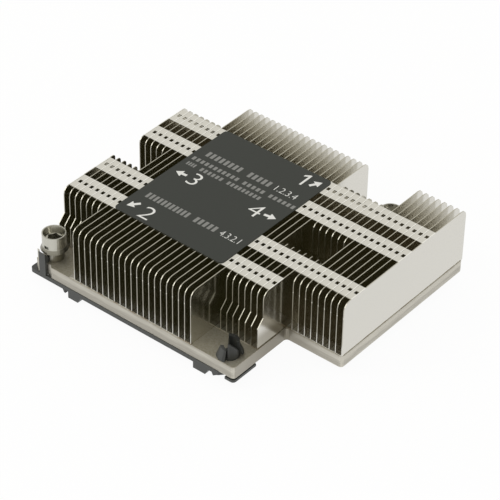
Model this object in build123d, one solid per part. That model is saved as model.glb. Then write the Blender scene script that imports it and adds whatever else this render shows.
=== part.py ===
from build123d import *
import os
from math import atan, cos, degrees, pi, radians, sin

# Passive heatsink for a low rack server's processor: a stepped base plate, a stack of folded
# fins whose top flanges close up into four bands, a label stuck on the bands, four captive
# nuts with their retaining rings, and the plastic clip that holds the processor underneath.
#
# Frame, in mm: the origin is the centre of the contact land that meets the processor, +X runs
# across the fins towards the extension, +Y along the air flow, +Z up.
# The clip and the corner pockets come back after half a turn about Z.

# Chords that round off a right-angled corner, few because the stack repeats it so often
corner_chords = 3

# Fin stack
fin_pitch = 2.5
fin_sheet = 0.3
fin_height = 21.0
fin_corner = 2.7
left_fins = 7
middle_fins = 21
right_fins = 7
extension_fins = 9
fin_margin = 0.15

# Flanges folded from the fins, and the locking slots at the folds of the top ones
band_length = 7.3
band_margin = 0.1
flange_gap = 0.06
slot_width = 1.2
slot_length = 1.5
slotted_left_fins = 9
slotted_right_fins = 9

# Step in the fins' ends beside the corner nuts and posts
slant_top = 11.0
slant_foot = 8.1
step_depth = 2.75
pocket_gap = 2.01

# Wells that the side nuts stand in
well_gap_x = 1.75
well_gap_front = 0.95
well_gap_back = 2.02
well_front_corner = 1.0
well_back_corner = 2.2

# Base plate
plate_length = 92.0
plate_thickness = 4.6
plate_corner = 1.2
extension_start = 19.7
extension_margin = 0.15
land_width = 56.5
land_length = 76.5
land_height = 0.2

# Label
label_width = 46.0
label_length = 57.3
label_sheet = 0.2
label_corner = 1.5

# Flat sides of what is turned: near enough to round at this size, and light, as it repeats
turned_sides = 32

# Captive nuts, placed from the plate's edges; the side pair stands near mid length
nut_inset_x = 4.15
nut_inset_y = 5.14
side_nut_y = -0.5
head_radius = 4.1
head_height = 4.6
cone_height = 1.5
flange_radius = 4.75
neck_radius = 3.2
neck_height = 3.9
shank_radius = 2.9
shank_reach = 1.4
nut_running_gap = 0.08
nut_float = 0.1
mouth_radius = 3.7
mouth_depth = 2.3
star_radius = 2.8
star_waist = 2.1
star_depth = 3.4
star_lobes = 6
thread_radius = 1.65
thread_depth = 8.0
mark_width = 1.7
mark_height = 1.1
mark_depth = 0.5
mark_shift = 0.2
mark_rise = 0.1

# Retaining rings, pushed on the nuts' shanks
ring_radius = 3.9
ring_thickness = 0.6

# Processor clip
clip_sheet = 1.6
clip_overhang = 0.2
window_gap = 0.5
rail_gap = 1.35
nut_way_gap = 0.7
ear_wall = 1.25
ear_reach = 2.4
ear_corner = 1.2
pad_reach = 0.1
pad_width = 3.7
pad_height = 1.0
pad_rise = 1.1
pad_undercut = 0.7
rail_cut_width = 2.9
rail_cut_depth = 3.3

# Feet and teeth along the clip's front edge, by their distance from the middle
foot_height = 2.5
foot_depth = 3.0
foot_slope = 1.3
left_foot_start = 22.5
left_foot_end = 28.1
right_foot_start = 26.1
right_foot_end = 32.4
tooth_height = 1.2
left_tooth_start = 29.3
right_tooth_start = 33.8
tooth_width = 1.2
tooth_depth = 1.2

# Snap hooks over the plate's edge, and the notches that they stand in
hook_inset = 1.9
hook_width = 2.8
hook_height = 4.4
hook_ramp = 2.4
hook_clearance = 0.3
hook_gap = 0.1
lip_gap = 0.05
notch_depth = 0.85
notch_width = 6.35
rib_width = 0.85
rib_step = 0.5
rib_rise = 0.3

# Split posts through the plate's other two corners: a tube slit into three fingers, which start
# and end at bearings about its axis, in degrees anticlockwise from +X on the front right post
post_inset_x = 5.4
post_inset_y = 4.6
post_radius = 3.1
post_bore_radius = 2.0
post_hole_gap = 0.15
barb_radius = 4.5
low_finger_start = 215
low_finger_end = 286
low_finger_height = 3.6
slanted_finger_start = 294
slanted_finger_end = 372
slanted_finger_height = 6.4
slanted_finger_drop = 2.6
tall_finger_start = 17
tall_finger_end = 139
tall_finger_height = 5.9
tall_barb_low = 1.2
tall_barb_high = 4.5

main_fins = left_fins + middle_fins + right_fins
all_fins = main_fins + extension_fins
half_width = (main_fins - 1) / 2 * fin_pitch + fin_sheet
half_length = plate_length / 2
plate_bottom = land_height
plate_top = plate_bottom + plate_thickness
fin_top = plate_top + fin_height
fin_end = half_length - fin_margin
flange_reach = fin_pitch - fin_sheet - flange_gap

nut_x = half_width - nut_inset_x
nut_y = half_length - nut_inset_y
nut_bore_radius = shank_radius + nut_running_gap
nut_foot = plate_top + nut_float
nut_tip = plate_bottom - shank_reach
ring_top = plate_bottom - nut_float

step_end = nut_y - flange_radius - pocket_gap
corner_end = step_end - step_depth
outer_band_y = corner_end - fin_corner - band_length / 2
well_front = side_nut_y - flange_radius - well_gap_front
well_back = side_nut_y + flange_radius + well_gap_back
inner_band_y = well_back + well_back_corner + band_margin + band_length / 2

post_x = half_width - post_inset_x
post_y = half_length - post_inset_y
clip_bottom = plate_bottom - clip_sheet
clip_end = half_length + clip_overhang
window_x = land_width / 2 + window_gap
window_y = land_length / 2 + window_gap
rail_x = nut_x - ring_radius - rail_gap
nut_way_radius = ring_radius + nut_way_gap
ear_y = nut_y - nut_way_radius - ear_wall

nut_places = {"1": (nut_x, nut_y), "2": (-nut_x, -nut_y),
              "3": (-nut_x, side_nut_y), "4": (nut_x, side_nut_y)}


def half_turn(shape):
    """The same shape after half a turn about the Z axis."""
    return shape.rotate(Axis.Z, 180)


def box(x0, x1, y0, y1, z0, z1):
    """A box between two corners."""
    return Pos((x0 + x1) / 2, (y0 + y1) / 2, (z0 + z1) / 2) * Box(x1 - x0, y1 - y0, z1 - z0)


def disc(x, y, radius, z0, z1):
    """An upright cylinder."""
    return Pos(x, y, (z0 + z1) / 2) * Cylinder(radius, z1 - z0)


def rounded_corner(before, corner, after, radius):
    """The points round a right-angled corner, in a few chords, from the side of the one before."""
    back, ahead = (before - corner).normalized(), (after - corner).normalized()
    centre = corner + (back + ahead) * radius
    turns = [pi / 2 * chord / corner_chords for chord in range(corner_chords + 1)]
    return [centre - (ahead * cos(turn) + back * sin(turn)) * radius for turn in turns]


def outline(corners):
    """A face inside corners, given as two coordinates and, where one is rounded, its radius."""
    places = [Vector(*corner[:2]) for corner in corners]
    points = []
    for i, corner in enumerate(corners):
        if len(corner) == 2:
            points.append(places[i])
        else:
            after = places[(i + 1) % len(places)]
            points += rounded_corner(places[i - 1], places[i], after, corner[2])
    return make_face(Polyline(*points, close=True))


def plan(corners, z0, z1):
    """An (x, y) outline, extruded along Z."""
    return Pos(0, 0, z0) * extrude(outline(corners), amount=z1 - z0)


def side_view(corners, x0, x1):
    """A (y, z) outline, extruded along X."""
    return Pos(x0, 0, 0) * extrude(Plane.YZ * outline(corners), amount=x1 - x0)


def front_view(corners, y0, y1):
    """An (x, z) outline, extruded along Y."""
    return Pos(0, y1, 0) * extrude(Plane.XZ * outline(corners), amount=y1 - y0)


def turned(low_radius, high_radius, z0, z1):
    """An upright turned piece on the Z axis, straight or tapered, with flat sides."""
    wide, narrow = max(low_radius, high_radius), min(low_radius, high_radius)
    slope = (wide - narrow) * cos(pi / turned_sides) / (z1 - z0)
    piece = extrude(RegularPolygon(wide, turned_sides), z1 - z0, taper=degrees(atan(slope)))
    if high_radius > low_radius:
        return Pos(0, 0, z1) * piece.rotate(Axis.X, 180)
    return Pos(0, 0, z0) * piece


def fin_x(number):
    """Where the outer face of a fin lies; they count from 1, away from the extension."""
    return (number - (main_fins + 1) / 2) * fin_pitch


def beside_corner(number):
    """Whether a corner nut or post stands in line with this fin."""
    return number <= left_fins or left_fins + middle_fins < number <= main_fins


def cut_by_well(number):
    """Whether a side nut's well goes through this fin."""
    return abs(abs(fin_x(number)) - nut_x) < flange_radius + well_gap_x


def upright_end(y, corner):
    """A fin's upright end, from its foot up to its rounded top corner."""
    return [(y, plate_top), (y, fin_top, corner)]


def stepped_end(side):
    """An end that draws back above its foot, from the foot up."""
    foot, top = side * step_end, side * corner_end
    return [(foot, plate_top), (foot, plate_top + slant_foot), (top, plate_top + slant_top),
            (top, fin_top, fin_corner)]


def fin_outlines(number):
    """The flat outlines of a fin: one, or one on each side of a nut's well."""
    front, back = upright_end(-fin_end, fin_corner), upright_end(fin_end, fin_corner)
    if number > main_fins:
        front = upright_end(fin_margin - extension_start, fin_corner)
    if beside_corner(number):
        front = stepped_end(-1)
    if beside_corner(number) or cut_by_well(number):
        back = stepped_end(1)
    if not cut_by_well(number):
        return [front + back[::-1]]
    before = upright_end(well_front, well_front_corner)
    behind = upright_end(well_back, well_back_corner)
    return [front + before[::-1], behind + back[::-1]]


def band_places(number):
    """The middles of the flange bands that a fin carries."""
    bands = [-inner_band_y, inner_band_y, outer_band_y]
    return bands if number > main_fins else [-outer_band_y] + bands


def slotted(number):
    """Whether a fin's slots are open to view beside the label, which hides the others."""
    return number <= slotted_left_fins or number > main_fins - slotted_right_fins


def top_flange(number, y):
    """One band's flange, folded towards the fin before, with its slot at the fold."""
    fold = fin_x(number) - fin_sheet
    low = fin_top - fin_sheet
    flange = box(fold - flange_reach, fold, y - band_length / 2, y + band_length / 2, low, fin_top)
    if slotted(number):
        flange -= box(fold - slot_width, fold, y - slot_length / 2, y + slot_length / 2, low, fin_top)
    return flange


def fin_sheet_piece(number, corners):
    """One folded sheet: the upright wall, its foot flange and the top flanges on it."""
    x = fin_x(number)
    y0, y1 = corners[0][0], corners[-1][0]
    sheet = side_view(corners, x - fin_sheet, x)
    if number == 1:
        return sheet
    fold = x - fin_sheet
    sheet += box(fold - flange_reach, fold, y0, y1, plate_top, plate_top + fin_sheet)
    for y in band_places(number):
        if y0 < y < y1:
            sheet += top_flange(number, y)
    return sheet


def fin(number):
    """A fin of the stack, in two sheets where a nut's well parts it."""
    sheets = [fin_sheet_piece(number, corners) for corners in fin_outlines(number)]
    return sheets[0] if len(sheets) == 1 else Compound(children=sheets)


def plate_face():
    """The plate's corners, with the front left notch for a snap hook."""
    right = fin_x(all_fins) + extension_margin
    notch_x, notch_y = notch_width - half_width, notch_depth - half_length
    return [(-half_width, notch_y), (notch_x, notch_y), (notch_x + notch_depth, -half_length),
            (half_width, -half_length, plate_corner), (half_width, -extension_start, plate_corner),
            (right, -extension_start, plate_corner), (right, half_length, plate_corner),
            (half_width + notch_depth, half_length), (half_width, -notch_y), (-notch_x, -notch_y),
            (-notch_x - notch_depth, half_length), (-half_width, half_length, plate_corner)]


def base_plate():
    """The stepped plate with its machined contact land and its bores."""
    plate = plan(plate_face(), plate_bottom, plate_top)
    plate += box(-land_width / 2, land_width / 2, -land_length / 2, land_length / 2, 0, plate_bottom)
    for x, y in nut_places.values():
        plate -= disc(x, y, nut_bore_radius, plate_bottom, plate_top)
    for side in (-1, 1):
        plate -= disc(-side * post_x, side * post_y, post_radius + post_hole_gap,
                      plate_bottom, plate_top)
    return plate


def label():
    """The plain sheet stuck on the flange bands."""
    x, y = label_width / 2, label_length / 2
    corners = [(-x, -y), (x, -y), (x, y), (-x, y)]
    return plan([(*corner, label_corner) for corner in corners], fin_top, fin_top + label_sheet)


def star_recess(z0, z1):
    """The lobed driver recess, as the solid that cuts it."""
    corners = []
    for i in range(2 * star_lobes):
        reach = star_waist if i % 2 else star_radius
        corners.append((reach * cos(i * pi / star_lobes), reach * sin(i * pi / star_lobes)))
    return plan(corners, z0, z1)


def side_mark(low):
    """The small square pocket in the side of the head, as the solid that cuts it."""
    return box(mark_shift - mark_width / 2, mark_shift + mark_width / 2, -flange_radius,
               mark_depth - head_radius, low, low + mark_height)


def captive_nut():
    """A nut on the Z axis: funnel mouth, driver star, head, flange, neck and tapped shank."""
    flange = nut_foot + neck_height
    head = flange + cone_height
    top = head + head_height
    mouth = top - mouth_depth
    body = turned(shank_radius, shank_radius, nut_tip, nut_foot)
    body += turned(neck_radius, neck_radius, nut_foot, flange)
    body += turned(flange_radius, head_radius, flange, head)
    body += turned(head_radius, head_radius, head, top)
    body -= turned(star_radius, mouth_radius, mouth, top)
    body -= star_recess(mouth - star_depth, mouth)
    body -= side_mark(head + mark_rise)
    return body - disc(0, 0, thread_radius, nut_tip, nut_tip + thread_depth)


def retaining_ring():
    """The ring on a nut's shank that holds it in the plate."""
    low = ring_top - ring_thickness
    inside = turned(shank_radius, shank_radius, low, ring_top)
    return turned(ring_radius, ring_radius, low, ring_top) - inside


def clip_ears():
    """The front rail with its two ears: the nut's on the left, the post's on the right."""
    left, right = half_width + ear_reach, half_width + pad_reach - pad_undercut
    cut_x, cut_y = right - rail_cut_width, rail_cut_depth - clip_end
    return plan([(-left, -clip_end, ear_corner), (right - 2 * rail_cut_width, -clip_end),
                 (cut_x, cut_y), (right, cut_y), (right, -ear_y), (rail_x, -ear_y),
                 (rail_x, -window_y), (-rail_x, -window_y), (-rail_x, -ear_y),
                 (-left, -ear_y, ear_corner)], clip_bottom, plate_bottom)


def corner_pad():
    """The finger pad below the post's ear."""
    right = half_width + pad_reach
    return plan([(right - pad_width, -clip_end), (right, -clip_end, ear_corner), (right, -ear_y),
                 (right - pad_width, -ear_y)], clip_bottom + pad_rise - pad_height, clip_bottom + pad_rise)


def clip_feet():
    """The two feet that hang from the front rail, each with a slope towards its right."""
    low = clip_bottom - foot_height
    shapes = [[(start, clip_bottom), (start, low), (end - foot_slope, low), (end, clip_bottom)]
              for start, end in ((-left_foot_end, -left_foot_start), (right_foot_start, right_foot_end))]
    return [front_view(shape, -clip_end, foot_depth - clip_end) for shape in shapes]


def clip_teeth():
    """The two small teeth on the front rail, one beside each foot."""
    tip = clip_bottom - tooth_height
    left, right, half = -left_tooth_start, right_tooth_start, tooth_width / 2
    shapes = [[(left - tooth_width, clip_bottom), (left - half, tip), (left, tip), (left, clip_bottom)],
              [(right, clip_bottom), (right + half, tip), (right + 2 * tooth_width, clip_bottom)]]
    return [front_view(shape, -clip_end, tooth_depth - clip_end) for shape in shapes]


def snap_hook():
    """The hook and its side rib, in the plate's notch beside the corner nut."""
    inner = half_length - notch_depth + hook_gap
    barb = nut_y + neck_radius + hook_clearance
    seat = plate_top + lip_gap
    crown = seat + hook_height
    start = hook_inset - half_width
    hook = side_view([(-clip_end, clip_bottom), (-clip_end, crown), (-barb, crown - hook_ramp),
                      (-barb, seat), (-inner, seat), (-inner, clip_bottom)], start, start + hook_width)
    rib = side_view([(rib_step - clip_end, clip_bottom), (rib_step - clip_end, crown + rib_rise),
                     (-inner, crown - hook_ramp), (-inner, clip_bottom)], start - rib_width, start)
    return [hook, rib]


def post_sector(start, end, height):
    """What lies between two bearings about a post's axis, as the solid that keeps a finger."""
    reach = 2 * barb_radius
    bearings = [radians(bearing) for bearing in (start, (start + end) / 2, end)]
    rim = [(reach * cos(bearing), reach * sin(bearing)) for bearing in bearings]
    return plan([(0, 0)] + rim, 0, height)


def slanted_finger():
    """The plain finger, whose rounded tip slants down towards the tall one."""
    span = slanted_finger_end - slanted_finger_start
    wide, top = post_radius, slanted_finger_height
    tip = front_view([(-wide, 0), (wide, 0), (wide, top - 2 * slanted_finger_drop),
                      (0, top - slanted_finger_drop / 2), (-wide / 2, top), (-wide, top)], -wide, 0)
    sector = post_sector(-90 - span / 2, span / 2 - 90, top)
    finger = turned(post_radius, post_radius, 0, top) & tip & sector
    return finger.rotate(Axis.Z, slanted_finger_start + span / 2 - 270)


def split_post():
    """The post through the plate's corner, slit into fingers, two of them barbed."""
    low = turned(barb_radius, post_radius, 0, low_finger_height)
    tall = turned(post_radius, post_radius, 0, tall_finger_height)
    tall += turned(barb_radius, post_radius, tall_barb_low, tall_barb_high)
    fingers = low & post_sector(low_finger_start, low_finger_end, low_finger_height)
    fingers += tall & post_sector(tall_finger_start, tall_finger_end, tall_finger_height)
    fingers += slanted_finger()
    fingers -= turned(post_bore_radius, post_bore_radius, 0, max(tall_finger_height, slanted_finger_height))
    seat = plate_top + lip_gap
    stem = turned(post_radius, post_radius, clip_bottom, seat)
    return Pos(post_x, -post_y, 0) * (stem + Pos(0, 0, seat) * fingers)


def clip_front():
    """The clip's front half; half a turn makes the back half."""
    half = clip_ears() + corner_pad()
    half += box(window_x, rail_x, -window_y, window_y, clip_bottom, plate_bottom)
    half -= disc(-nut_x, -nut_y, nut_way_radius, clip_bottom, plate_bottom)
    for piece in clip_feet() + clip_teeth() + snap_hook() + [split_post()]:
        half += piece
    return half


def processor_clip():
    """The plastic frame under the plate that carries the processor."""
    front = clip_front()
    return front + half_turn(front)


def pieces():
    """Every piece of the heatsink by its name."""
    found = {"base_plate": base_plate(), "label": label(), "processor_clip": processor_clip()}
    for number in range(1, all_fins + 1):
        found[f"fin_{number:02d}"] = fin(number)
    nut, ring = captive_nut(), retaining_ring()
    for number, (x, y) in nut_places.items():
        found[f"nut_{number}"] = Pos(x, y, 0) * nut
        found[f"nut_ring_{number}"] = Pos(x, y, 0) * ring
    return found


os.makedirs("parts", exist_ok=True)
for name, shape in pieces().items():
    export_step(shape, f"parts/{name}.step")
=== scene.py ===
from math import cos, pi, radians, sin

import bpy
from mathutils import Matrix, Vector


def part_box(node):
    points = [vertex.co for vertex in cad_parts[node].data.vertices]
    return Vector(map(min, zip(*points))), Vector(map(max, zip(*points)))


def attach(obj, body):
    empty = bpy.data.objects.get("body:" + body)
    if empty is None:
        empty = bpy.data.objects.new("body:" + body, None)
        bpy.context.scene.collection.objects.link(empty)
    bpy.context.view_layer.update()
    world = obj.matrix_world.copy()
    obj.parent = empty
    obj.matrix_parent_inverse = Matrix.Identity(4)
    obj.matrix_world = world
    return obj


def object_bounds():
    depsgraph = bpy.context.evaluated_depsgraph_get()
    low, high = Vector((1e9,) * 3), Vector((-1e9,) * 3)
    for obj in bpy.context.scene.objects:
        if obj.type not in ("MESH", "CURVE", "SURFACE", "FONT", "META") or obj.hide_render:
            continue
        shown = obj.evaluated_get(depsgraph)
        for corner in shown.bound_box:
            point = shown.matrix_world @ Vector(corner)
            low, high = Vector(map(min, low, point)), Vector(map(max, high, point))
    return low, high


# The looks of a passive server heatsink: bright plated fins on a milled plate, a dark label with
# plain numbers, steel nuts and a black clip, seen as in the photograph. The scene is in metres;
# places on the part are in millimetres, in the part's own frame.

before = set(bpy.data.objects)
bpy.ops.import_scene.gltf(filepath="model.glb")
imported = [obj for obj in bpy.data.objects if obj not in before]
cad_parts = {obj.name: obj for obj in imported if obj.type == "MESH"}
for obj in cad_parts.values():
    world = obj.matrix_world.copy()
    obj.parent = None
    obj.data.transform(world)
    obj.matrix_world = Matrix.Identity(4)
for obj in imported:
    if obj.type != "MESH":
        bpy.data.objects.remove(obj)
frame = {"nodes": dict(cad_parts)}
nodes = frame["nodes"]
packed_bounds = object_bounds()

MM = 0.001

# Camera, from a fit to the plate's corners and the flange bands
CAMERA_PLACE = (0.3867, -0.4667, 0.4765)
CAMERA_BEARING = 39.13
CAMERA_HEIGHT = 37.98
CAMERA_ROLL = 0.85
CAMERA_REACH = 10
LENS = 165.5
SHIFT = (0.0205, -0.0018)

# Studio
PAPER_WHITE = (0.90, 0.90, 0.90)
SKY_COLOR = (0.93, 0.92, 0.88)
FLOOR_SIZE = 6
FLOOR_GLOW = 0.94
LAMP_WAY = (-0.50, -0.62, 0.61)
LAMP_SIZE = 0.3
LAMP_POWER = 1.4

# In the finishes below, places and heights are in millimetres. A pair is where a soft change begins and
# ends, and where it has a softness beside it, the two sides of a stripe. Grain is in waves a millimetre
# along X, Y and Z

# How far a surface faces one way, to count as facing it
FACING = (0.5, 0.9)
FACING_FULLY = (0.8, 0.95)

# The step in the plate's outline, where the extension begins, and its rounded nook
STEP_X = 42.8
STEP_Y = -19.7
NOOK_BACK = 0.2
NOOK_REACH = 1.4
NOOK_SOFT = 0.1

# Plated fins
FIN_ROUGHNESS = 0.17
FIN_COLOR = (0.65, 0.635, 0.585)
FIN_SHADE = (0.27, 0.25, 0.20)
# The colour of the painted highlight along the folds of the flange bands
FOLD_HIGHLIGHT_COLOR = (0.86, 0.85, 0.81)
EDGE_COLOR = (0.45, 0.43, 0.36)
BEAD_COLOR = (0.92, 0.90, 0.84)
STAIN_COLOR = (0.26, 0.18, 0.10)
# Colours of the painted glow in the channels
CHANNEL_GLOW = (0.0030, 0.0027, 0.0009)
CHANNEL_GLOW_BACK = (0.0075, 0.0060, 0.0030)
FIN_PITCH = 2.5
FIN_SHEET = 0.3
FOLD_SOFT = 0.015
BANDS = ((8.57, 15.87), (21.35, 28.65))
BAND_SOFT = 0.05
EDGE_TURN = (0.3, 0.7)
EDGE_FOOT = (8, 10)
EDGE_ROUGHNESS = 0.2
SOLDER_LEVEL = (4.95, 5.2)
SOLDER_GRAIN = (0.3, 0.3, 0.3)
SOLDER_PATCHES = (0.5, 0.62)
SOLDER_STAIN = 0.8

# Painted shade on the low face of the fin beside the step, and a painted glow where light reaches into the
# channels
STEP_FACE = (42.3, 42.9)
STEP_FACE_SOFT = 0.1
STEP_FACE_LEVEL = (8, 13)
STEP_FACE_LENGTH = (-44, -22)
STEP_FACE_SHADE = 0.65
STEP_FACE_GAIN = 0.3
GLOW_X = (30, 45)
GLOW_LEVEL = (12, 20)
GLOW_BACK = (12, 18)

# Drops of plating on the front edges below the bends: height, reach, and the rows of fins with them
BEAD_LEVEL = 20.2
BEAD_SIZE = 0.24
BEAD_ROWS = (("fin_08", 21), ("fin_36", 9))

# Milled plate
PLATE_COLOR = (0.46, 0.435, 0.36)
PLATE_LIGHT = (0.58, 0.555, 0.485)
PLATE_DARK = (0.38, 0.36, 0.31)
PLATE_STAIN = (0.37, 0.34, 0.26)
PLATE_SHADE = (0.19, 0.17, 0.13)
PLATE_ROUGHNESS = 0.38
PLATE_TOP_ROUGHNESS = 0.2
LIGHT_STRIPE = (2.6, 4.4)
LIGHT_STRIPE_SOFT = 0.7
LIGHT_STRIPE_GAIN = 0.6
LIGHT_FOOT = (0.4, 0.9)
LIGHT_FOOT_GAIN = 0.3
# Painted shade on the faces to the right, painted light at the extension's right end, and painted
# highlights at the rounded corners
RIGHT_END = (50, 60)
RIGHT_END_LIGHT = 1.2
RIGHT_FACE_SHADE = 0.8
CORNER_HIGHLIGHT_TURN = (0.15, 0.45)
TOP_EDGE = (4.4, 4.6)
TOP_EDGE_STAIN = (0.45, 0.6)
TOP_STAIN = (0.35, 0.7)
STREAK_GRAIN = (0.15, 0.15, 2.2)
STREAK_GAIN = 1.6
MOTTLE_GRAIN = (1.8, 1.8, 1.8)
MOTTLE_DETAIL = 4.0
MILL_GRAIN = (0.03, 2.5, 0.0)
SHADE_ALONG = (-48, -26)
SHADE_FRONT = (-32, -28)
SHADE_ACROSS = (44, 60)
SHADE_STRENGTH = 0.6
NOOK_SHADE = 0.2

# Nuts and rings
NUT_COLOR = (0.53, 0.52, 0.46)
NUT_DARK = (0.24, 0.23, 0.19)
NUT_HIGHLIGHT = (0.80, 0.79, 0.74)
MARK_COLOR = (0.22, 0.22, 0.20)
RING_COLOR = (0.45, 0.45, 0.43)
NUT_ROUGHNESS = 0.34
MOUTH_POLISH = 0.14
NUT_WIDTH = 9.5
NECK_TOP = (10.0, 10.4)
FLANGE_FOOT = (8.7, 9.3)
FLANGE_FOOT_SOFT = 0.1
MOUTH_RADIUS = (3.55, 3.75)
MOUTH_FLOOR = (12.2, 12.3)
FUNNEL_FOOT = (12.3, 12.7)
MARK_RADIUS = (3.95, 4.05)
MARK_FRONT = (2.9, 3.1)
MARK_HEIGHTS = (10.35, 11.55)
MARK_SOFT = 0.05
# How deep the painted shade is in the funnel, below the head and on the rims, and how dark the line at the
# flange's foot is
FUNNEL_DARKNESS = 0.6
NECK_DARKNESS = 0.9
RIM_DARKNESS = 0.4
FLANGE_FOOT_DARKNESS = 0.5
BORE_RADIUS = 1.64
THREAD_DEPTH = 0.25
THREAD_PITCH = 0.7
THREAD_LENGTH = 6.3
THREAD_STEPS = 20

# Label
LABEL_COLOR = (0.025, 0.028, 0.023)
LABEL_GRAIN = (3.0, 3.0, 3.0)
LABEL_CONTRAST = 0.1
INK_COLOR = (0.70, 0.70, 0.68)
BLOCK_COLOR = (0.20, 0.20, 0.19)

# Clip, with a painted highlight on the side ribs of its hooks, and the painted shade on its posts, placed
# from the axis of
# each: the front right one stands here, and the other half a turn on
CLIP_COLOR = (0.046, 0.048, 0.045)
CLIP_SHADE = (0.006, 0.007, 0.005)
RIB_HIGHLIGHT_COLOR = (0.50, 0.48, 0.42)
RIB_X = (40.9, 41.72)
RIB_SOFT = 0.01
RIB_Y = (45.1, 45.2)
RIB_LEVEL = (0.2, 0.3)
POST_X = 37.4
POST_Y = -41.4
POST_REACH = (5.0, 5.1)
POST_LEVEL = (4.85, 4.9)
POST_RIGHT = (0.0, 0.3)
POST_RIGHT_SHADE = 0.6
POST_BACK = (0.8, 1.1)
POST_BACK_SHADE = 0.8
CLIP_TOP_SHADE = 0.3

# Print on the label
INK_LIFT = 0.02
NUMBER_HEIGHT = 6.5
NUMBER_STRETCH = 1.12
TYPE_OFFSET = -0.012
ONE_PLACE = (14.8, 23.7)
ONE = [(0.3, -3.2), (1.1, -3.2), (1.1, 3.2), (0.5, 3.2), (-1.2, 2.1), (-1.2, 1.2), (0.3, 2.1)]
NUMBERS = {"2": (-12.3, -24.0), "3": (-12.7, 0.1), "4": (13.4, 0.1)}
ARROWS = {"1": ((18.2, 22.05), (20.7, 26.1)), "2": ((-17.4, -21.5), (-20.5, -25.1)),
          "3": ((-16.1, 0.0), (-20.5, -0.35)), "4": ((16.9, 0.1), (21.4, 0.7))}
ARROW_SHAFT = 1.1
ARROW_HEAD_WIDTH = 3.4
ARROW_HEAD_LENGTH = 2.5

# Rows of plain blocks on the label: middle and height, then each group's ends and its blocks
BLOCK_ROWS = [(14.0, 2.9, [(-18.9, -4.2, 8), (-0.9, 8.3, 5)]),
              (9.2, 1.9, [(-21.3, -1.6, 11), (0.6, 9.4, 5), (11.7, 22.2, 6)]),
              (5.8, 1.9, [(-20.9, -17.3, 4), (-15.0, -5.6, 6), (-3.35, 0.9, 3), (1.4, 10.45, 6)]),
              (-16.3, 2.9, [(-19.1, -1.3, 11), (1.45, 10.4, 5)])]
BLOCK_SHARE = 0.62
COUNTS = {"1.2.3.4": (14.0, 10.65, 19.3), "4.3.2.1": (-16.3, 12.3, 20.2)}
COUNT_HEIGHT = 2.9


class Value:
    """What varies over a surface, as a node's output."""

    def __init__(self, nodes, socket):
        self.nodes = nodes
        self.socket = socket

    def math(self, operation, *others):
        inputs = dict(enumerate((self, *others)))
        return self.nodes.node("ShaderNodeMath", {"operation": operation}, inputs)

    def __add__(self, other):
        return self.math("ADD", other)

    def __sub__(self, other):
        return self.math("SUBTRACT", other)

    def __rsub__(self, other):
        return (self * -1) + other

    def __mul__(self, other):
        return self.math("MULTIPLY", other)

    __radd__ = __add__
    __rmul__ = __mul__

    def size(self):
        return self.math("ABSOLUTE")

    def ramp(self, low, high):
        """0 below a low value and 1 above a high one, with a smooth rise."""
        settings = {"interpolation_type": "SMOOTHSTEP"}
        return self.nodes.node("ShaderNodeMapRange", settings, {0: self, 1: low, 2: high})

    def within(self, low, high, soft):
        """1 between two values, with soft ends."""
        return self.ramp(low - soft, low + soft) - self.ramp(high - soft, high + soft)

    def output(self, name):
        """Another output of the same node."""
        return Value(self.nodes, self.socket.node.outputs[name])

    def parts(self):
        """The X, Y and Z parts of a vector."""
        split = self.nodes.node("ShaderNodeSeparateXYZ", inputs={0: self})
        return [split.output(axis) for axis in "XYZ"]


class Nodes:
    """The nodes of a material or of the world."""

    def __init__(self, tree):
        self.tree = tree

    def put(self, socket, value):
        """Gives a socket a value, or a link from another node."""
        if isinstance(value, Value):
            self.tree.links.new(value.socket, socket)
        else:
            socket.default_value = value

    def node(self, kind, settings=None, inputs=None):
        """Adds a node, with its settings first and then its sockets, and returns its first output."""
        made = self.tree.nodes.new(kind)
        for name, value in (settings or {}).items():
            setattr(made, name, value)
        for name, value in (inputs or {}).items():
            self.put(made.inputs[name], value)
        return Value(self, made.outputs[0])

    def mix(self, share, start, end):
        """A colour between two others."""
        start, end = (c if isinstance(c, Value) else (*c, 1) for c in (start, end))
        mixed = self.node("ShaderNodeMix", {"data_type": "RGBA"}, {0: share, 6: start, 7: end})
        return Value(self, mixed.socket.node.outputs[2])


class Finish(Nodes):
    """A material under construction, with its main shader."""

    def __init__(self, name, color, metallic=0.0, roughness=0.5):
        self.material = bpy.data.materials.new(name)
        self.material.use_nodes = True
        super().__init__(self.material.node_tree)
        self.shader = self.tree.nodes["Principled BSDF"]
        self.set("Base Color", (*color, 1))
        self.set("Metallic", metallic)
        self.set("Roughness", roughness)

    def set(self, socket, value):
        """Gives one of the main shader's sockets a value, or a link from another node."""
        self.put(self.shader.inputs[socket], value)

    def place(self):
        """Where a point of the surface lies on the part, in millimetres."""
        place = self.node("ShaderNodeTexCoord").output("Object")
        return self.node("ShaderNodeVectorMath", {"operation": "SCALE"}, {0: place, "Scale": 1 / MM})

    def facing(self):
        """Which way the surface faces on the part."""
        return self.node("ShaderNodeTexCoord").output("Normal")

    def grain(self, stretch, detail=2.0):
        """Noise about 0.5, with so many waves a millimetre along X, Y and Z."""
        settings = {"operation": "MULTIPLY"}
        place = self.node("ShaderNodeVectorMath", settings, {0: self.place(), 1: stretch})
        return self.node("ShaderNodeTexNoise", inputs={"Vector": place, "Scale": 1.0, "Detail": detail})


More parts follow.
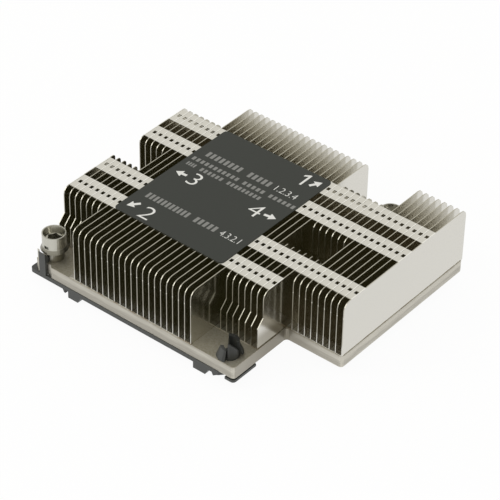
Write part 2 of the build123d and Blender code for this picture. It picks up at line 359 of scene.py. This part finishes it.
def plated_fins():
    """Bright plating, with darker sheared edges, a painted highlight along the folds, painted shade beside
    the step, a painted glow in the channels and a stain along the solder.
    """
    fin = Finish("fin_metal", FIN_COLOR, metallic=1.0)
    x, y, z = fin.place().parts()
    across, _, up = fin.facing().parts()
    in_band = sum(y.size().within(*band, BAND_SOFT) for band in BANDS)
    sheared = (1 - across.size().ramp(*EDGE_TURN)) * (1 - in_band)
    fold_start = 1 - FIN_SHEET / FIN_PITCH
    fold_highlight = (x * (1 / FIN_PITCH)).math("FRACT").ramp(fold_start - FOLD_SOFT, fold_start)
    stain = (1 - z.ramp(*SOLDER_LEVEL)) * fin.grain(SOLDER_GRAIN).ramp(*SOLDER_PATCHES)
    # A painted highlight along the folds, on the band faces that face up
    color = fin.mix(in_band * fold_highlight * up.ramp(*FACING), FIN_COLOR, FOLD_HIGHLIGHT_COLOR)
    color = fin.mix(step_shade(x, y, z), color, FIN_SHADE)
    color = fin.mix(sheared, color, fin.mix(z.ramp(*EDGE_FOOT), FIN_COLOR, EDGE_COLOR))
    fin.set("Base Color", fin.mix(stain * SOLDER_STAIN, color, STAIN_COLOR))
    fin.set("Roughness", FIN_ROUGHNESS + EDGE_ROUGHNESS * sheared)
    # A painted glow, stronger low at the right and towards the back, stands for the light that reaches
    # into the channels
    low_right = x.ramp(*GLOW_X) * (1 - z.ramp(*GLOW_LEVEL))
    painted_glow_share = low_right.math("MAXIMUM", y.ramp(*GLOW_BACK))
    fin.set("Emission Color", fin.mix(painted_glow_share, CHANNEL_GLOW, CHANNEL_GLOW_BACK))
    fin.set("Emission Strength", 1.0)
    return fin.material


def step_shade(x, y, z):
    """The shade on the low face of the fin beside the step, deeper towards the nook."""
    low = x.within(*STEP_FACE, STEP_FACE_SOFT) * (1 - z.ramp(*STEP_FACE_LEVEL))
    return low * (STEP_FACE_SHADE + STEP_FACE_GAIN * y.ramp(*STEP_FACE_LENGTH))


def milled_plate():
    """Milled metal: a stained top, streaked sides with painted light and shade, and fine mill marks below.
    """
    plate = Finish("plate_metal", PLATE_COLOR, metallic=0.9)
    up = plate.facing().parts()[2]
    top = up.ramp(*FACING)
    mottle = plate.grain(MOTTLE_GRAIN, MOTTLE_DETAIL)
    stained = plate.mix(mottle.ramp(*TOP_STAIN), PLATE_COLOR, PLATE_STAIN)
    milled = plate.mix(plate.grain(MILL_GRAIN), PLATE_DARK, PLATE_LIGHT)
    around = plate.mix((up * -1).ramp(*FACING), plate_side(plate, mottle), milled)
    plate.set("Base Color", plate.mix(top, around, stained))
    plate.set("Roughness", PLATE_ROUGHNESS + PLATE_TOP_ROUGHNESS * top)
    return plate.material


def plate_side(plate, mottle):
    """The plate's sides: streaked, with painted highlights at the corners, stained at the top, with
    painted shade on the faces to the right turning to painted light at the extension's end, and painted
    shade at the step.
    """
    x, y, z = plate.place().parts()
    across, along, _ = plate.facing().parts()
    nook = (x.within(STEP_X - NOOK_BACK, STEP_X + NOOK_REACH, NOOK_SOFT)
            * y.within(STEP_Y - NOOK_REACH, STEP_Y + NOOK_BACK, NOOK_SOFT))
    right = across.ramp(*FACING)
    light = z.within(*LIGHT_STRIPE, LIGHT_STRIPE_SOFT) * LIGHT_STRIPE_GAIN
    light = light + (1 - z.ramp(*LIGHT_FOOT)) * LIGHT_FOOT_GAIN
    # Painted shade on the faces to the right, and painted light at the extension's right end
    light = light + right * (x.ramp(*RIGHT_END) * RIGHT_END_LIGHT - RIGHT_FACE_SHADE)
    # Painted highlights at the rounded corners, left out in the nook
    light = light + (across * along).size().ramp(*CORNER_HIGHLIGHT_TURN) * (1 - nook)
    light = light + (plate.grain(STREAK_GRAIN) - 0.5) * STREAK_GAIN
    side = plate.mix(light, PLATE_DARK, PLATE_LIGHT)
    side = plate.mix(z.ramp(*TOP_EDGE) * mottle.ramp(*TOP_EDGE_STAIN), side, PLATE_STAIN)
    beside = right * y.ramp(*SHADE_ALONG) + (along * -1).ramp(*FACING) * y.ramp(*SHADE_FRONT)
    beside = beside * (1 - x.ramp(*SHADE_ACROSS)) * SHADE_STRENGTH
    return plate.mix(beside + NOOK_SHADE * nook, side, PLATE_SHADE)


def turned_steel():
    """Plated steel, with painted shade in the funnel, on the rims and below the head, a painted highlight
    on the floor of the mouth, and a mark on the head.
    """
    nut = Finish("nut_steel", NUT_COLOR, metallic=1.0)
    z = nut.place().parts()[2]
    share = nut.node("ShaderNodeTexCoord").output("Generated")
    over, back = ((part - 0.5) * NUT_WIDTH for part in share.parts()[:2])
    radius = (over * over + back * back).math("SQRT")
    flat = nut.facing().parts()[2].ramp(*FACING_FULLY)
    inside = (1 - radius.ramp(*MOUTH_RADIUS)) * z.ramp(*MOUTH_FLOOR)
    funnel = inside * z.ramp(*FUNNEL_FOOT) * (1 - flat)
    # Painted shade in the funnel and below the head, and on the flat rims that face up, then a dark line
    # at the flange's foot
    dark = funnel * FUNNEL_DARKNESS + (1 - z.ramp(*NECK_TOP)) * NECK_DARKNESS
    dark = dark + flat * (1 - inside) * RIM_DARKNESS
    dark = dark + z.within(*FLANGE_FOOT, FLANGE_FOOT_SOFT) * FLANGE_FOOT_DARKNESS
    # A painted highlight on the flat floor inside the mouth
    color = nut.mix(flat * inside, nut.mix(dark, NUT_COLOR, NUT_DARK), NUT_HIGHLIGHT)
    mark = (1 - radius.ramp(*MARK_RADIUS)) * (back * -1).ramp(*MARK_FRONT)
    mark = mark * z.within(*MARK_HEIGHTS, MARK_SOFT)
    nut.set("Base Color", nut.mix(mark, color, MARK_COLOR))
    nut.set("Roughness", NUT_ROUGHNESS - MOUTH_POLISH * inside)
    return nut.material


def spring_steel():
    return Finish("ring_steel", RING_COLOR, metallic=1.0, roughness=0.4).material


def label_film():
    """Printed film with a fine grain."""
    film = Finish("label_film", LABEL_COLOR, roughness=0.5)
    film.set("Specular IOR Level", 0.3)
    dark, light = ([(1 + way * LABEL_CONTRAST) * c for c in LABEL_COLOR] for way in (-1, 1))
    film.set("Base Color", film.mix(film.grain(LABEL_GRAIN, detail=0.0), dark, light))
    return film.material


def clip_plastic():
    """Black moulded plastic, with a painted highlight on the hooks' side ribs and painted shade on the
    posts and on the faces that face up.
    """
    clip = Finish("clip_plastic", CLIP_COLOR, roughness=0.45)
    x, y, z = clip.place().parts()
    # A painted highlight on the side rib of each hook
    rib_highlight = x.size().within(*RIB_X, RIB_SOFT) * y.size().ramp(*RIB_Y) * z.ramp(*RIB_LEVEL)
    half = x.math("SIGN")
    over, back = x * half - POST_X, y * half - POST_Y
    on_post = 1 - over.size().math("MAXIMUM", back.size()).ramp(*POST_REACH)
    on_post = on_post * z.ramp(*POST_LEVEL)
    # Painted shade on the posts, and on the faces that face up elsewhere
    shade = on_post * (POST_RIGHT_SHADE * over.ramp(*POST_RIGHT) + POST_BACK_SHADE * back.ramp(*POST_BACK))
    top = clip.facing().parts()[2].ramp(*FACING)
    shade = shade + top * (1 - on_post) * CLIP_TOP_SHADE
    clip.set("Base Color", clip.mix(rib_highlight, clip.mix(shade, CLIP_COLOR, CLIP_SHADE), RIB_HIGHLIGHT_COLOR))
    return clip.material


def dress(names, material):
    """Gives CAD nodes a finish."""
    for name in names:
        nodes[name].data.materials[0] = material


def piece(name, points, faces, material, body):
    """A mesh that scene.py adds, from points in millimetres, riding on a body."""
    mesh = bpy.data.meshes.new(name)
    mesh.from_pydata([Vector(p) * MM for p in points], [], faces)
    mesh.materials.append(material)
    made = bpy.data.objects.new(name, mesh)
    bpy.context.collection.objects.link(made)
    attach(made, body)


def plating_beads(material):
    """Small drops on the front edges of the fins, one to a fin."""
    points, faces = [], []
    for first, count in BEAD_ROWS:
        low, high = (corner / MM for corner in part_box(first))
        for i in range(count):
            x, y = high.x - FIN_SHEET / 2 + i * FIN_PITCH, low.y
            start = len(points)
            points += [(x - BEAD_SIZE, y, BEAD_LEVEL), (x, y, BEAD_LEVEL - BEAD_SIZE),
                       (x + BEAD_SIZE, y, BEAD_LEVEL), (x, y, BEAD_LEVEL + BEAD_SIZE),
                       (x, y - BEAD_SIZE / 2, BEAD_LEVEL), (x, y + BEAD_SIZE / 2, BEAD_LEVEL)]
            for a, b in ((0, 1), (1, 2), (2, 3), (3, 0)):
                faces += [(start + a, start + b, start + 4), (start + b, start + a, start + 5)]
    piece("plating_beads", points, faces, material, "heatsink")


def nut_thread(nut, material):
    """The thread in a nut's bore, a ridge that winds up from the tip."""
    low, high = (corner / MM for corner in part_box(nut))
    x, y = (low.x + high.x) / 2, (low.y + high.y) / 2
    count = round(THREAD_LENGTH / THREAD_PITCH * THREAD_STEPS)
    points, faces = [], []
    for i in range(count + 1):
        turn = 2 * pi * i / THREAD_STEPS
        rise = low.z + THREAD_PITCH * (i / THREAD_STEPS + 0.5)
        for radius, lift in ((BORE_RADIUS, -0.5), (BORE_RADIUS - THREAD_DEPTH, 0), (BORE_RADIUS, 0.5)):
            points.append((x + radius * cos(turn), y + radius * sin(turn), rise + lift * THREAD_PITCH))
    for i in range(count):
        for a in (3 * i, 3 * i + 1):
            faces.append((a, a + 1, a + 4, a + 3))
    piece("thread_" + nut, points, faces, material, nut)


def printed_text(name, body, centre, height, stretch, width, ink, level):
    """Numbers as flat type of a height, stretched by a factor or to a width."""
    text = bpy.data.curves.new(name, "FONT")
    text.body = body
    text.offset = TYPE_OFFSET
    text.materials.append(ink)
    made = bpy.data.objects.new(name, text)
    bpy.context.collection.objects.link(made)
    bpy.context.view_layer.update()
    low, high = Vector(made.bound_box[0]), Vector(made.bound_box[6])
    up = height * MM / (high.y - low.y)
    over = width * MM / (high.x - low.x) if width else up * stretch
    middle = (low + high) / 2
    made.scale = (over, up, 1)
    made.location = Vector((*centre, level)) * MM - Vector((middle.x * over, middle.y * up, 0))
    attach(made, "heatsink")


def printed_arrow(name, start, tip, ink, level):
    """An arrow from its start to its tip, flat on the label."""
    start, tip = Vector((*start, level)), Vector((*tip, level))
    along = (tip - start).normalized()
    side = Vector((-along.y, along.x, 0))
    neck = tip - along * ARROW_HEAD_LENGTH
    shaft, head = side * ARROW_SHAFT / 2, side * ARROW_HEAD_WIDTH / 2
    points = [start - shaft, neck - shaft, neck - head, tip, neck + head, neck + shaft, start + shaft]
    piece("arrow_" + name, points, [tuple(range(7))], ink, "heatsink")


def block_row(row, middle, height, groups, ink, level):
    """A row of plain blocks in groups, flat on the label."""
    points, faces = [], []
    for start, end, count in groups:
        pitch = (end - start) / (count - 1 + BLOCK_SHARE)
        for i in range(count):
            left, right = start + i * pitch, start + (i + BLOCK_SHARE) * pitch
            low, high = middle - height / 2, middle + height / 2
            faces.append(tuple(range(len(points), len(points) + 4)))
            points += [(left, low, level), (right, low, level), (right, high, level), (left, high, level)]
    piece(f"word_blocks_{row}", points, faces, ink, "heatsink")


def printed_label():
    """The label's numbers, the arrows that point at the four nuts, and rows of plain blocks."""
    ink = Finish("label_ink", INK_COLOR, roughness=0.5).material
    faint = Finish("label_ink_faint", BLOCK_COLOR, roughness=0.5).material
    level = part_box("label")[1].z / MM + INK_LIFT
    one = [(ONE_PLACE[0] + x, ONE_PLACE[1] + y, level) for x, y in ONE]
    piece("number_1", one, [tuple(range(len(one)))], ink, "heatsink")
    for digit, place in NUMBERS.items():
        printed_text("number_" + digit, digit, place, NUMBER_HEIGHT, NUMBER_STRETCH, None, ink, level)
    for number, ends in ARROWS.items():
        printed_arrow(number, *ends, ink, level)
    for row, (middle, height, groups) in enumerate(BLOCK_ROWS, 1):
        block_row(row, middle, height, groups, faint, level)
    for name, (middle, start, end) in COUNTS.items():
        centre = ((start + end) / 2, middle)
        printed_text("count_" + name, name, centre, COUNT_HEIGHT, None, end - start, ink, level)


def white_studio():
    """A pale floor and world; the camera and the metal see the floor as white."""
    world = bpy.data.worlds.new("studio")
    bpy.context.scene.world = world
    world.use_nodes = True
    sky = Nodes(world.node_tree)
    seen = sky.node("ShaderNodeLightPath").output("Is Camera Ray")
    sky.put(sky.tree.nodes["Background"].inputs["Color"], sky.mix(seen, SKY_COLOR, (1, 1, 1)))
    bpy.ops.mesh.primitive_plane_add(size=FLOOR_SIZE, location=(0, 0, packed_bounds[0][2]))
    floor = bpy.context.object
    floor.name = "floor"
    white = Finish("floor_white", PAPER_WHITE, roughness=0.9)
    ray = white.node("ShaderNodeLightPath")
    seen = ray.output("Is Camera Ray") + ray.output("Is Glossy Ray") + ray.output("Is Transmission Ray")
    lit = Value(white, white.shader.outputs[0])
    glow = white.node("ShaderNodeEmission")
    shade = white.node("ShaderNodeMixShader", inputs={0: seen.math("MINIMUM", 1.0) * FLOOR_GLOW,
                                                      1: lit, 2: glow})
    white.put(white.tree.nodes["Material Output"].inputs["Surface"], shade)
    floor.data.materials.append(white.material)
    lamp("lamp", LAMP_WAY, LAMP_SIZE, LAMP_POWER)


def lamp(name, place, size, power):
    """A soft square lamp aimed at the part."""
    light = bpy.data.lights.new(name, "AREA")
    light.size = size
    light.energy = power
    made = bpy.data.objects.new(name, light)
    made.location = place
    made.rotation_euler = (-Vector(place)).to_track_quat("-Z", "Y").to_euler()
    bpy.context.collection.objects.link(made)


def camera():
    """The photograph's camera."""
    eye = bpy.data.objects.new("camera", bpy.data.cameras.new("camera"))
    eye.location = CAMERA_PLACE
    turn = (Matrix.Rotation(radians(CAMERA_BEARING), 3, "Z")
            @ Matrix.Rotation(radians(90 - CAMERA_HEIGHT), 3, "X")
            @ Matrix.Rotation(radians(CAMERA_ROLL), 3, "Z"))
    eye.rotation_euler = turn.to_euler()
    eye.data.lens = LENS
    eye.data.shift_x, eye.data.shift_y = SHIFT
    eye.data.clip_end = CAMERA_REACH
    bpy.context.collection.objects.link(eye)
    bpy.context.scene.camera = eye


fins = [name for name in nodes if name.startswith("fin_")]
rings = [name for name in nodes if name.startswith("nut_ring_")]
nuts = [name for name in nodes if name.startswith("nut_") and name not in rings]
fin_metal = plated_fins()
dress(fins, fin_metal)
plating_beads(Finish("bead_metal", BEAD_COLOR, metallic=1.0, roughness=0.2).material)
dress(["base_plate"], milled_plate())
dress(nuts, turned_steel())
thread_steel = Finish("thread_steel", NUT_DARK, metallic=1.0, roughness=0.3).material
for nut in nuts:
    nut_thread(nut, thread_steel)
dress(rings, spring_steel())
dress(["label"], label_film())
dress(["processor_clip"], clip_plastic())
printed_label()
white_studio()
camera()
bpy.context.scene.view_settings.view_transform = "Standard"
